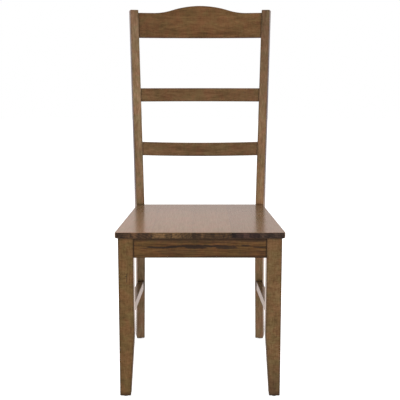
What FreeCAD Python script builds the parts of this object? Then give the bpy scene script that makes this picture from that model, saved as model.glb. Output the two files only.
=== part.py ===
# A wooden ladderback dining chair, as its separate pieces. Sizes are in millimetres and degrees.
# +Z is up, the chair faces -Y, X runs across it, and the origin is on the floor under its middle.
# Pieces off the centre line are built on the +X side and mirrored to the other.
import FreeCAD, Part
import math
import os

import Sketcher
from FreeCAD import Placement, Rotation, Vector

ACROSS = Vector(1, 0, 0)
BACKWARD = Vector(0, 1, 0)
FORWARD = Vector(0, -1, 0)
UP = Vector(0, 0, 1)

# The driving sizes: alias, value, what it measures
SIZES = (
    ("seat_height", 457, "floor to the top of the seat"),
    ("seat_thickness", 16, "thickness of the seat boards"),
    ("seat_depth", 420, "front edge of the seat to the back posts"),
    ("seat_front_width", 448, "width of the seat at its front edge"),
    ("seat_back_width", 399, "width of the seat beside the back posts"),
    ("seat_corner_radius", 10, "rounding of the two front corners, seen from above"),
    ("seat_edge_radius", 2.5, "easing of the seat's edges"),
    ("far_left_seam", 126, "centre line to the seam beside the far left board"),
    ("left_seam", 20, "centre line to the seam left of the centre board"),
    ("right_seam", 83, "centre line to the seam right of the centre board"),
    ("far_right_seam", 154, "centre line to the seam beside the far right board"),
    ("leg_size", 40.5, "side of the square front leg"),
    ("leg_spread", 432, "outside to outside of the two front legs"),
    ("leg_setback", 12, "front edge of the seat to the front face of the legs"),
    ("leg_foot_size", 29, "side of the front leg at the floor end of its taper"),
    ("leg_taper_height", 177, "floor to the start of the taper"),
    ("leg_edge_radius", 2, "easing of the front leg's long edges"),
    ("leg_foot_easing", 1.5, "easing around the front leg's foot"),
    ("post_spacing", 352, "inner corner to inner corner of the posts at the seat"),
    ("post_thickness", 26, "thickness of the plank that the post is sawn from"),
    ("post_depth", 45, "front to back of the post at the seat"),
    ("post_top_depth", 35, "front to back of the post at its top"),
    ("post_foot_depth", 36, "front to back of the post at its foot"),
    ("post_foot_kick", 28, "how far the foot stands back from the post's front face"),
    ("post_knee_height", 260, "floor to where the lower post's front starts to sweep back"),
    ("post_rear_knee_height", 180, "floor to where the lower post's rear starts to sweep back"),
    ("post_bend_height", 467, "floor to where the upper post starts to lean back"),
    ("post_height", 1068, "floor to the top of the post"),
    ("toe_out", 12, "angle that the posts are turned outward, seen from above"),
    ("back_rake", 9, "angle that the back leans"),
    ("knee_radius", 400, "bend of the front face at the knee"),
    ("front_bend_radius", 115, "bend of the front face above the seat"),
    ("rear_bend_radius", 880, "bend of the rear face above the seat"),
    ("rear_knee_radius", 500, "bend of the rear face at the knee"),
    ("post_edge_radius", 2.5, "easing of the post's edges"),
    ("rail_setback", 3, "front corner of the posts to the front of the rails"),
    ("rail_edge_radius", 2, "easing of the crest rail's and slats' edges"),
    ("crest_thickness", 18, "thickness of the crest rail"),
    ("crest_drop", 9, "top of the posts down to the crest rail's flat shoulders"),
    ("crest_height", 79, "height of the crest rail at its shoulders"),
    ("crest_rise", 23.5, "how far the crown stands above the shoulders"),
    ("crest_ogee_run", 150, "centre line to where the shoulder starts to rise"),
    ("crest_crown_radius", 296, "radius of the crown"),
    ("slat_thickness", 14, "thickness of the two slats"),
    ("slat_height", 42, "height of the two slats"),
    ("crest_gap", 159, "clear height between the crest rail and the upper slat"),
    ("slat_gap", 127, "clear height between the two slats, at their ends"),
    ("lower_slat_dip", 4.5, "how far the lower slat is bowed down in its middle"),
    ("apron_height", 55, "height of the four aprons"),
    ("apron_thickness", 20, "thickness of the four aprons"),
    ("apron_edge_radius", 1.5, "easing of the aprons' and stretchers' edges"),
    ("front_apron_setback", 2, "front face of the legs to the front apron"),
    ("rear_apron_gap", 1, "back edge of the seat to the rear apron"),
    ("rear_apron_rise", 8, "how far the rear apron rises behind the seat's back edge"),
    ("side_apron_inset", 4, "outer face of the front leg to the side apron"),
    ("side_apron_back_inset", 2.5, "inner corner of the post to the side apron"),
    ("stretcher_height", 27, "height of the side stretchers"),
    ("stretcher_thickness", 20, "thickness of the side stretchers"),
    ("stretcher_bottom", 178.5, "floor to the bottom of the side stretchers"),
    ("stretcher_inset", 1, "outer face of the front leg to the stretcher"),
    ("stretcher_back_inset", 4.5, "inner corner of the post to the stretcher"),
    ("tenon_length", 13, "length of the tenons"),
    ("tenon_thickness", 8, "thickness of the tenons"),
    ("slat_tenon_shoulder", 5, "step above and below a slat's or stretcher's tenon"),
    ("crest_tenon_shoulder", 11, "step above and below the crest rail's tenon"),
    ("joint_gap", 0.15, "glue gap on each side of a tenon or dowel"),
    ("joint_end_gap", 1, "room past the end of a tenon, dowel, screw or nail"),
    ("dowel_diameter", 8, "diameter of the dowels"),
    ("dowel_length", 34, "length of the dowels"),
    ("dowel_spread", 30, "height between two dowels of a joint"),
    ("rear_dowel_spread", 12, "height between two dowels of the rear apron"),
    ("block_height", 25, "height of the corner blocks"),
    ("front_block_reach", 62, "reach of a front corner block along each apron"),
    ("rear_block_reach", 75, "reach of a rear corner block along each apron"),
    ("block_clearance", 1, "gap between a front corner block and the leg"),
    ("rear_block_corner", 8, "corner cut off the rear block beside the post"),
    ("screw_length", 32, "length of the screws under their heads"),
    ("screw_diameter", 4, "diameter of the screws' shanks"),
    ("screw_head_diameter", 8, "diameter of the screws' pan heads"),
    ("screw_head_height", 2.6, "height of the pan heads"),
    ("screw_tip_length", 6, "length of the screws' points"),
    ("screw_grip", 18, "wood of the corner block that a screw clamps"),
    ("screw_inset", 27, "end of the corner block to its screws"),
    ("seat_screw_inset", 14, "inner corner of the leg or post to the seat screw"),
    ("glide_diameter", 17, "diameter of the foot glides"),
    ("glide_height", 4, "height of the foot glides"),
    ("glide_edge_radius", 1.2, "rounding of the glides' lower edge"),
    ("nail_diameter", 2.4, "diameter of the glide nails"),
    ("nail_length", 18, "length of the glide nails above their heads"),
    ("nail_head_diameter", 6, "diameter of the nail heads"),
    ("nail_head_height", 1, "height of the nail heads"),
    ("nail_head_depth", 1.5, "floor to the underside of the nail heads"),
)

# Sizes that follow from the driving ones: name, expression
DERIVED = (
    ("toe_slope", "tan(Sizes.toe_out)"),
    ("rake_slope", "tan(Sizes.back_rake)"),
    ("seat_under", "Sizes.seat_height - Sizes.seat_thickness"),
    ("post_inner", "Sizes.post_spacing / 2"),
    ("post_lean", "(Sizes.post_height - Sizes.post_bend_height) * Derived.rake_slope"),
    ("post_top_rear", "Derived.post_lean + Sizes.post_top_depth"),
    ("crest_shoulder", "Sizes.post_height - Sizes.crest_drop"),
    ("crest_top", "Derived.crest_shoulder + Sizes.crest_rise"),
    ("crest_bottom", "Derived.crest_shoulder - Sizes.crest_height"),
    ("upper_slat_top", "Derived.crest_bottom - Sizes.crest_gap"),
    ("upper_slat_bottom", "Derived.upper_slat_top - Sizes.slat_height"),
    ("lower_slat_top", "Derived.upper_slat_bottom - Sizes.slat_gap"),
    ("lower_slat_bottom", "Derived.lower_slat_top - Sizes.slat_height"),
    ("bow_radius", "Derived.post_inner / sin(Sizes.toe_out)"),
    ("bow_sag", "Derived.bow_radius - Derived.post_inner / Derived.toe_slope"),
    ("crown_lean", "(Derived.crest_top - Sizes.post_bend_height) * Derived.rake_slope"),
    ("crown_easing", "Sizes.rail_edge_radius"
                     " * (Derived.rake_slope + 1 / cos(Sizes.back_rake) - 1)"),
    ("rear_bend_height", "Sizes.post_height"
                         " - (Derived.post_top_rear - Sizes.post_depth) / Derived.rake_slope"),
    ("chair_depth", "Sizes.seat_depth + Derived.bow_sag + Derived.crown_lean"
                    " + Sizes.rail_setback + Sizes.crest_thickness - Derived.crown_easing"),
    ("front_y", "-Derived.chair_depth / 2"),
    ("post_y", "Derived.front_y + Sizes.seat_depth"),
    ("bow_y", "Derived.post_y - Derived.post_inner / Derived.toe_slope"),
    ("leg_outer", "Sizes.leg_spread / 2"),
    ("leg_inner", "Derived.leg_outer - Sizes.leg_size"),
    ("leg_back", "Sizes.leg_setback + Sizes.leg_size"),
    ("apron_bottom", "Derived.seat_under - Sizes.apron_height"),
    ("apron_middle", "Derived.seat_under - Sizes.apron_height / 2"),
    ("front_apron_front", "Sizes.leg_setback + Sizes.front_apron_setback"),
    ("front_apron_back", "Derived.front_apron_front + Sizes.apron_thickness"),
    ("rear_apron_front", "Sizes.seat_depth + Sizes.rear_apron_gap"),
    ("rear_apron_back", "Derived.rear_apron_front + Sizes.apron_thickness"),
    ("side_front_outer", "Derived.leg_outer - Sizes.side_apron_inset"),
    ("side_front_inner", "Derived.side_front_outer - Sizes.apron_thickness"),
    ("side_back_inner", "Derived.post_inner + Sizes.side_apron_back_inset"),
    ("side_back_outer", "Derived.side_back_inner + Sizes.apron_thickness"),
    ("side_slope", "(Derived.side_front_inner - Derived.side_back_inner)"
                   " / (Sizes.seat_depth - Derived.leg_back)"),
    ("stretcher_front_outer", "Derived.leg_outer - Sizes.stretcher_inset"),
    ("stretcher_front_inner", "Derived.stretcher_front_outer - Sizes.stretcher_thickness"),
    ("stretcher_back_inner", "Derived.post_inner + Sizes.stretcher_back_inset"),
    ("stretcher_back_outer", "Derived.stretcher_back_inner + Sizes.stretcher_thickness"),
    ("stretcher_post_y", "Sizes.seat_depth + (Sizes.post_knee_height - Sizes.stretcher_bottom"
                         " - Sizes.stretcher_height / 2) * Sizes.post_foot_kick"
                         " / (Sizes.post_knee_height - Sizes.glide_height)"
                         " - Sizes.post_thickness / 2 * Derived.toe_slope"),
    ("tongue_margin", "(Sizes.stretcher_thickness - Sizes.tenon_thickness) / 2"),
    ("front_block_end", "Derived.leg_inner - Sizes.block_clearance - Sizes.front_block_reach"),
    ("front_block_back", "Derived.leg_back + Sizes.front_block_reach"),
    ("rear_block_end", "Derived.post_inner - Sizes.rear_block_reach"),
    ("rear_block_front", "Derived.rear_apron_front - Sizes.rear_block_reach"),
    ("block_screw_height", "Derived.seat_under - Sizes.block_height / 2"),
    ("lower_half_length", "Derived.post_inner + (Derived.lower_slat_bottom"
                          " - Sizes.post_bend_height) * Derived.rake_slope * sin(Sizes.toe_out)"),
    ("dip_radius", "Derived.lower_half_length ^ 2 / Sizes.lower_slat_dip / 2"
                   " + Sizes.lower_slat_dip / 2"),
    ("rear_glide_u", "Sizes.post_foot_kick + Sizes.post_foot_depth / 2"),
    ("rear_glide_x", "Derived.post_inner + Sizes.post_thickness / 2 * cos(Sizes.toe_out)"
                     " + Derived.rear_glide_u * sin(Sizes.toe_out)"),
    ("rear_glide_y", "Derived.post_y + Derived.rear_glide_u * cos(Sizes.toe_out)"
                     " - Sizes.post_thickness / 2 * sin(Sizes.toe_out)"),
    ("front_glide_x", "Derived.leg_outer - Sizes.leg_foot_size / 2"),
    ("front_glide_y", "Derived.front_y + Sizes.leg_setback + Sizes.leg_foot_size / 2"),
)

doc = FreeCAD.newDocument("LadderbackChair")
finished = {}


def make_sheet():
    """The spreadsheet of driving sizes and the set of sizes that follow from them."""
    sheet = doc.addObject("Spreadsheet::Sheet", "Sizes")
    for row, (alias, value, meaning) in enumerate(SIZES, start=1):
        sheet.set(f"A{row}", meaning)
        sheet.set(f"B{row}", str(value))
        sheet.setAlias(f"B{row}", alias)
    doc.recompute()
    derived = doc.addObject("App::VarSet", "Derived")
    for name, expression in DERIVED:
        derived.addProperty("App::PropertyFloat", name)
        derived.setExpression(name, expression)
    doc.recompute()
    return sheet, derived


sheet, derived = make_sheet()


def bind(thing, **sizes):
    """Binds properties of an object to expressions."""
    for name, expression in sizes.items():
        thing.setExpression(name, expression)


def place(thing, x="0", y="0", z="0", turn=None, angle=None):
    """Binds an object's place, with a fixed rotation or an angle about the upright axis."""
    thing.Placement = Placement(Vector(), turn or Rotation(UP, 1))
    if angle:
        thing.setExpression("Placement.Rotation.Angle", angle)
    elif turn is None:
        thing.Placement = Placement()
    thing.setExpression("Placement.Base.x", x)
    thing.setExpression("Placement.Base.y", y)
    thing.setExpression("Placement.Base.z", z)
    return thing


def pointing(direction):
    """The rotation that turns the upright axis to a direction."""
    return Rotation(UP, direction)


def finish(thing, label):
    """Names a finished piece for its file."""
    thing.Label = label
    finished[label] = thing
    return thing


def mirrored(source, label):
    """The same piece on the other side of the chair."""
    mirror = doc.addObject("Part::Mirroring", f"{label}_mirror")
    mirror.Source = source
    mirror.Normal = ACROSS
    return finish(mirror, label)


def group(name, members):
    compound = doc.addObject("Part::Compound", name)
    compound.Links = members
    return compound


def fuse(name, members):
    union = doc.addObject("Part::MultiFuse", name)
    union.Shapes = members
    return union


def cut(name, base, tool):
    result = doc.addObject("Part::Cut", name)
    result.Base = base
    result.Tool = tool
    return result


def common(name, base, tool):
    result = doc.addObject("Part::Common", name)
    result.Base = base
    result.Tool = tool
    return result


def cylinder(name, radius, height, x="0", y="0", z="0", direction=UP):
    """A round pin or hole that starts at a point and runs in a direction."""
    pin = doc.addObject("Part::Cylinder", name)
    bind(pin, Radius=radius, Height=height)
    return place(pin, x, y, z, pointing(direction))


def new_body(name, y="Derived.front_y", z="0"):
    """A body whose own Y starts at the seat's front edge."""
    body = doc.addObject("PartDesign::Body", name)
    return place(body, y=y, z=z)


def origin_plane(body, role):
    for feature in body.Origin.OriginFeatures:
        if feature.Role == role:
            return feature
    raise ValueError(role)


def closed_outline(sketch, corners):
    """A closed outline of straight edges, with each corner bound to (across, along) expressions."""
    count = len(corners)

    def spot(index):
        angle = 2 * math.pi * index / count
        return Vector(100 * math.cos(angle), 100 * math.sin(angle), 0)

    for index in range(count):
        sketch.addGeometry(Part.LineSegment(spot(index), spot(index + 1)))
    for index in range(count):
        sketch.addConstraint(Sketcher.Constraint("Coincident", index, 2, (index + 1) % count, 1))
    for index, corner in enumerate(corners):
        pin_point(sketch, index, 1, corner)


def bind_constraint(sketch, measure, expression):
    """Adds a measured constraint to a sketch and binds its value to an expression."""
    value = float(sketch.evalExpression(expression))
    number = sketch.addConstraint(Sketcher.Constraint(*measure, value))
    sketch.setExpression(f"Constraints[{number}]", expression)


def pin_point(sketch, geometry, point, corner):
    """Binds one point of a sketch to its distances from the sketch's origin."""
    for kind, expression in zip(("DistanceX", "DistanceY"), corner):
        bind_constraint(sketch, (kind, -1, 1, geometry, point), expression)


def body_sketch(body, role, corners):
    sketch = body.newObject("Sketcher::SketchObject", f"{body.Name}_outline")
    sketch.AttachmentSupport = (origin_plane(body, role), [""])
    sketch.MapMode = "FlatFace"
    closed_outline(sketch, corners)
    return sketch


def pad(body, role, corners, length, reverse=False):
    """Adds a straight extrusion of an outline on one of the body's origin planes."""
    feature = body.newObject("PartDesign::Pad", f"{body.Name}_pad")
    feature.Profile = body_sketch(body, role, corners)
    feature.Reversed = reverse
    bind(feature, Length=length)
    doc.recompute()
    return feature


def round_edges(body, radius, wanted):
    """Rounds the edges of the body's last feature that pass a test."""
    base = body.Tip
    names = [f"Edge{number}" for number, edge in enumerate(base.Shape.Edges, start=1)
             if wanted(edge)]
    fillet = body.newObject("PartDesign::Fillet", f"{body.Name}_fillet")
    fillet.Base = (base, names)
    bind(fillet, Radius=radius)
    doc.recompute()
    if fillet.Shape.isNull() or not fillet.Shape.isValid():
        raise ValueError(f"{fillet.Name} could not round {names}")
    return fillet


def middle(edge):
    return edge.valueAt((edge.FirstParameter + edge.LastParameter) / 2)


def span(edge):
    """The straight vector from one end of an edge to the other."""
    return edge.Vertexes[-1].Point - edge.Vertexes[0].Point


def near(first, second):
    return abs(first - second) < 1e-4


def at_level(edge, level):
    """Whether a whole edge lies at one height."""
    return all(near(vertex.Z, level) for vertex in edge.Vertexes) and near(middle(edge).z, level)


def make_seat():
    """The seat panel, rounded as one and parted along its glued seams into five boards."""
    panel = new_body("seat_panel", z="Derived.seat_under")
    side_y = ("Sizes.seat_depth"
              " - (Sizes.seat_back_width / 2 - Derived.post_inner) * Derived.toe_slope")
    pad(panel, "XY_Plane", (
        ("-Sizes.seat_front_width / 2", "0"),
        ("Sizes.seat_front_width / 2", "0"),
        ("Sizes.seat_back_width / 2", side_y),
        ("Derived.post_inner", "Sizes.seat_depth"),
        ("-Derived.post_inner", "Sizes.seat_depth"),
        ("-Sizes.seat_back_width / 2", side_y),
    ), "Sizes.seat_thickness")
    round_edges(panel, "Sizes.seat_corner_radius",
                lambda edge: near(abs(span(edge).z), sheet.seat_thickness)
                and near(middle(edge).y, 0))

    def eased(edge):
        flat = at_level(edge, 0) or at_level(edge, sheet.seat_thickness)
        beside_post = (abs(middle(edge).x) > derived.post_inner
                       and middle(edge).y > sheet.seat_depth - sheet.post_thickness
                       and abs(span(edge).x) > abs(span(edge).y))
        return flat and not beside_post

    round_edges(panel, "Sizes.seat_edge_radius", eased)
    edge_x = "Sizes.seat_front_width / 2 + Sizes.seat_thickness"
    seams = (f"-({edge_x})", "-Sizes.far_left_seam", "-Sizes.left_seam",
             "Sizes.right_seam", "Sizes.far_right_seam", edge_x)
    places = ("far_left", "left", "centre", "right", "far_right")
    for number, place_name in enumerate(places):
        strip = doc.addObject("Part::Box", f"{place_name}_strip")
        bind(strip, Length=f"({seams[number + 1]}) - ({seams[number]})",
             Width="Sizes.seat_depth + Sizes.seat_thickness",
             Height="3 * Sizes.seat_thickness")
        place(strip, seams[number], "Derived.front_y - Sizes.seat_thickness / 2",
              "Derived.seat_under - Sizes.seat_thickness")
        board = common(f"{place_name}_board", panel, strip)
        finish(board, f"seat_board_{place_name}")


def shell(name, bottom, top, setback, thickness, extra_angle="0"):
    """An upright band bowed about the back's axis, leaning with the posts, between two heights."""
    cones = []
    for side, offset in (("outer", f"{setback} + {thickness}"), ("inner", setback)):
        cone = doc.addObject("Part::Cone", f"{name}_{side}")
        for radius, height in (("Radius1", bottom), ("Radius2", top)):
            cone.setExpression(radius, f"Derived.bow_radius + {offset}"
                                       f" + ({height} - Sizes.post_bend_height)"
                                       " * Derived.rake_slope")
        bind(cone, Height=f"({top}) - ({bottom})", Angle=f"2 * (Sizes.toe_out + {extra_angle})")
        place(cone, y="Derived.bow_y", z=bottom, angle=f"90 - Sizes.toe_out - ({extra_angle})")
        cones.append(cone)
    return cut(f"{name}_band", cones[0], cones[1])


def tongue(name, bottom, top, thickness, shoulder, gap="0"):
    """The tenons of a crest rail or slat, as one band right through it, or their mortises."""
    inset = f"Sizes.rail_setback + ({thickness} - Sizes.tenon_thickness) / 2 - ({gap})"
    end_gap = "0" if gap == "0" else "Sizes.joint_end_gap"
    angle = f"(Sizes.tenon_length + {end_gap}) / Derived.bow_radius * 180 / pi"
    return shell(name, f"{bottom} + {shoulder} - {gap}", f"{top} - {shoulder} + {gap}",
                 inset, f"(Sizes.tenon_thickness + 2 * ({gap}))", angle)


def front_view_sketch(name):
    """A sketch in the chair's front view, at the seat's front edge."""
    sketch = doc.addObject("Sketcher::SketchObject", name)
    return place(sketch, y="Derived.front_y", turn=Rotation(ACROSS, 90))


def extruded(sketch):
    """Extends a front view outline back through the whole chair."""
    prism = doc.addObject("Part::Extrusion", f"{sketch.Name}_prism")
    prism.Base = sketch
    prism.DirMode = "Custom"
    prism.Dir = BACKWARD
    prism.Solid = True
    bind(prism, LengthFwd="Derived.chair_depth + Sizes.seat_depth")
    return prism


def crest_outline():
    """The camel-back outline: flat shoulders, hollow ogees and a round crown."""
    sketch = front_view_sketch("crest_outline")
    wide = sheet.post_spacing
    rise = sheet.crest_rise
    turn = 2 * math.atan(rise / sheet.crest_ogee_run)
    crown = sheet.crest_crown_radius
    hollow = sheet.crest_ogee_run / math.sin(turn) - crown
    low = derived.crest_bottom
    shoulder = derived.crest_shoulder
    run = sheet.crest_ogee_run

    def arc(x, z, radius, start, end):
        circle = Part.Circle(Vector(x, z, 0), UP, radius)
        return sketch.addGeometry(Part.ArcOfCircle(circle, start, end))

    def line(x1, z1, x2, z2):
        return sketch.addGeometry(Part.LineSegment(Vector(x1, z1, 0), Vector(x2, z2, 0)))

    down = 1.5 * math.pi
    bottom = line(-wide, low, wide, low)
    right_end = line(wide, low, wide, shoulder)
    right_shoulder = line(wide, shoulder, run, shoulder)
    right_hollow = arc(run, shoulder + hollow, hollow, down - turn, down)
    crown_arc = arc(0, derived.crest_top - crown, crown, math.pi / 2 - turn, math.pi / 2 + turn)
    left_hollow = arc(-run, shoulder + hollow, hollow, down, down + turn)
    left_shoulder = line(-run, shoulder, -wide, shoulder)
    left_end = line(-wide, shoulder, -wide, low)
    for kind, first, first_point, second, second_point in (
        ("Coincident", bottom, 2, right_end, 1),
        ("Coincident", right_end, 2, right_shoulder, 1),
        ("Tangent", right_shoulder, 2, right_hollow, 2),
        ("Tangent", right_hollow, 1, crown_arc, 1),
        ("Tangent", crown_arc, 2, left_hollow, 2),
        ("Tangent", left_hollow, 1, left_shoulder, 1),
        ("Coincident", left_shoulder, 2, left_end, 1),
        ("Coincident", left_end, 2, bottom, 1),
    ):
        sketch.addConstraint(Sketcher.Constraint(kind, first, first_point, second, second_point))
    pin_point(sketch, bottom, 1, ("-Sizes.post_spacing", "Derived.crest_bottom"))
    pin_point(sketch, bottom, 2, ("Sizes.post_spacing", "Derived.crest_bottom"))
    pin_point(sketch, right_shoulder, 1, ("Sizes.post_spacing", "Derived.crest_shoulder"))
    pin_point(sketch, right_shoulder, 2, ("Sizes.crest_ogee_run", "Derived.crest_shoulder"))
    pin_point(sketch, left_shoulder, 1, ("-Sizes.crest_ogee_run", "Derived.crest_shoulder"))
    pin_point(sketch, left_shoulder, 2, ("-Sizes.post_spacing", "Derived.crest_shoulder"))
    pin_point(sketch, crown_arc, 3, ("0", "Derived.crest_top - Sizes.crest_crown_radius"))
    bind_constraint(sketch, ("Radius", crown_arc), "Sizes.crest_crown_radius")
    return extruded(sketch)


def lower_slat_outline():
    """Two parallel edges that dip in the middle."""
    sketch = front_view_sketch("lower_slat_outline")
    radius = derived.dip_radius
    half = sheet.post_spacing * 2 / 3
    swing = math.asin(half / radius)
    down = 1.5 * math.pi
    heights = ("Derived.lower_slat_bottom - Sizes.lower_slat_dip",
               "Derived.lower_slat_bottom - Sizes.lower_slat_dip + Sizes.slat_height")
    middle_z = derived.lower_slat_bottom - sheet.lower_slat_dip
    for level, height in zip((middle_z, middle_z + sheet.slat_height), heights):
        circle = Part.Circle(Vector(0, level + radius, 0), UP, radius)
        edge = sketch.addGeometry(Part.ArcOfCircle(circle, down - swing, down + swing))
        pin_point(sketch, edge, 3, ("0", f"{height} + Derived.dip_radius"))
        bind_constraint(sketch, ("Radius", edge), "Derived.dip_radius")
        for point, end in ((1, "-Sizes.post_spacing * 2 / 3"), (2, "Sizes.post_spacing * 2 / 3")):
            bind_constraint(sketch, ("DistanceX", -1, 1, edge, point), end)
    for point in (1, 2):
        start = sketch.getPoint(0, point)
        end = sketch.getPoint(1, point)
        side = sketch.addGeometry(Part.LineSegment(start, end))
        sketch.addConstraint(Sketcher.Constraint("Coincident", side, 1, 0, point))
        sketch.addConstraint(Sketcher.Constraint("Coincident", side, 2, 1, point))
    return extruded(sketch)


def make_rail(label, bottom, top, thickness, shoulder, tenon_top, outline=None, low=None):
    """A crest rail or slat with its tenons, and the tool that cuts its mortises."""
    blank = shell(label, low or bottom, top, "Sizes.rail_setback", thickness)
    if outline:
        blank = common(f"{label}_shaped", blank, outline)
    doc.recompute()

    def runs_across(edge):
        spread = span(edge)
        return abs(spread.x) > abs(spread.y) and abs(spread.x) > sheet.slat_thickness

    eased = doc.addObject("Part::Fillet", f"{label}_eased")
    eased.Base = blank
    radius = sheet.rail_edge_radius
    eased.Edges = [(number, radius, radius) for number, edge in enumerate(blank.Shape.Edges, 1)
                   if runs_across(edge)]
    tenons = tongue(f"{label}_tenons", bottom, tenon_top, thickness, shoulder)
    finish(fuse(f"{label}_piece", [eased, tenons]), label)
    return tongue(f"{label}_mortises", bottom, tenon_top, thickness, shoulder, "Sizes.joint_gap")


def make_back_rails():
    """The crest rail and the two slats."""
    return [
        make_rail("crest_rail", "Derived.crest_bottom", "Derived.crest_top", "Sizes.crest_thickness",
                  "Sizes.crest_tenon_shoulder", "Derived.crest_shoulder", crest_outline()),
        make_rail("upper_slat", "Derived.upper_slat_bottom",
                  "Derived.upper_slat_top", "Sizes.slat_thickness",
                  "Sizes.slat_tenon_shoulder", "Derived.upper_slat_top"),
        make_rail("lower_slat", "Derived.lower_slat_bottom",
                  "Derived.lower_slat_top + Sizes.lower_slat_dip",
                  "Sizes.slat_thickness", "Sizes.slat_tenon_shoulder",
                  "Derived.lower_slat_top", lower_slat_outline(),
                  "Derived.lower_slat_bottom - Sizes.lower_slat_dip"),
    ]


def make_aprons():
    """The front, side and rear aprons, before their dowel holes."""
    front = new_body("front_apron_body", z="Derived.apron_bottom")
    pad(front, "XY_Plane", (
        ("-Derived.leg_inner", "Derived.front_apron_front"),
        ("Derived.leg_inner", "Derived.front_apron_front"),
        ("Derived.leg_inner", "Derived.front_apron_back"),
        ("-Derived.leg_inner", "Derived.front_apron_back"),
    ), "Sizes.apron_height")

    def lower_long_edge(edge):
        return at_level(edge, 0) and edge.Length > 2 * sheet.apron_thickness

    round_edges(front, "Sizes.apron_edge_radius", lower_long_edge)
    rear = new_body("rear_apron_body", z="Derived.apron_bottom")
    front_x = "Derived.post_inner + Derived.toe_slope * Sizes.rear_apron_gap"
    back_x = f"{front_x} + Derived.toe_slope * Sizes.apron_thickness"
    pad(rear, "XY_Plane", (
        (f"-({front_x})", "Derived.rear_apron_front"),
        (front_x, "Derived.rear_apron_front"),
        (back_x, "Derived.rear_apron_back"),
        (f"-({back_x})", "Derived.rear_apron_back"),
    ), "Sizes.apron_height + Sizes.rear_apron_rise")
    rear_top = sheet.apron_height + sheet.rear_apron_rise
    round_edges(rear, "Sizes.apron_edge_radius",
                lambda edge: (at_level(edge, 0) or at_level(edge, rear_top))
                and edge.Length > 2 * sheet.apron_thickness)
    side = new_body("side_apron_body", z="Derived.apron_bottom")
    pad(side, "XY_Plane", (
        ("Derived.side_front_inner", "Derived.leg_back"),
        ("Derived.side_front_outer", "Derived.leg_back"),
        ("Derived.side_back_outer", "Sizes.seat_depth"
         " - (Derived.side_back_outer - Derived.post_inner) * Derived.toe_slope"),
        ("Derived.side_back_inner", "Sizes.seat_depth"
         " - (Derived.side_back_inner - Derived.post_inner) * Derived.toe_slope"),
    ), "Sizes.apron_height")
    round_edges(side, "Sizes.apron_edge_radius", lower_long_edge)
    return front, rear, side


def dowel_pair(name, x, y, direction, spread):
    """Two dowels across a joint, one above the other, and the holes that they fill."""
    pins = []
    holes = []
    half = "Sizes.dowel_length / 2"
    for level, sign in (("upper", "+"), ("lower", "-")):
        z = f"Derived.apron_middle {sign} {spread} / 2"
        start_x = f"({x}) - {half}" if direction == ACROSS else x
        start_y = f"({y}) - {half}" if direction == BACKWARD else y
        pins.append(cylinder(f"{name}_{level}", "Sizes.dowel_diameter / 2", "Sizes.dowel_length",
                             start_x, start_y, z, direction))
        hole_x = f"{start_x} - Sizes.joint_end_gap" if direction == ACROSS else x
        hole_y = f"{start_y} - Sizes.joint_end_gap" if direction == BACKWARD else y
        holes.append(cylinder(f"{name}_{level}_hole", "Sizes.dowel_diameter / 2 + Sizes.joint_gap",
                              "Sizes.dowel_length + 2 * Sizes.joint_end_gap",
                              hole_x, hole_y, z, direction))
    return pins, holes


def both_sides(name, members):
    """A group of small pieces with their mirror images, as one node."""
    right = group(f"{name}_right", members)
    left = doc.addObject("Part::Mirroring", f"{name}_left")
    left.Source = right
    left.Normal = ACROSS
    return finish(group(f"{name}_pair", [right, left]), name)


def make_dowels():
    """The dowels of the seat frame, and their holes by joint."""
    front_pins, front_holes = dowel_pair(
        "front_dowel", "Derived.leg_inner",
        "Derived.front_y + Derived.front_apron_front + Sizes.apron_thickness / 2",
        ACROSS, "Sizes.dowel_spread")
    rear_pins, rear_holes = dowel_pair(
        "rear_dowel",
        "Derived.post_inner + (Sizes.rear_apron_gap + Sizes.apron_thickness / 2)"
        " * Derived.toe_slope",
        "Derived.front_y + Derived.rear_apron_front + Sizes.apron_thickness / 2",
        ACROSS, "Sizes.rear_dowel_spread")
    leg_pins, leg_holes = dowel_pair(
        "side_front_dowel", "Derived.side_front_inner + Sizes.apron_thickness / 2",
        "Derived.front_y + Derived.leg_back", BACKWARD, "Sizes.dowel_spread")
    post_pins, post_holes = dowel_pair(
        "side_back_dowel", "Derived.side_back_inner + Sizes.apron_thickness / 2",
        "Derived.post_y - (Sizes.side_apron_back_inset + Sizes.apron_thickness / 2)"
        " * Derived.toe_slope", BACKWARD, "Sizes.dowel_spread")
    both_sides("front_apron_dowels", front_pins)
    both_sides("rear_apron_dowels", rear_pins)
    both_sides("side_apron_dowels", leg_pins + post_pins)
    return front_holes, rear_holes, leg_holes, post_holes


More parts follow.
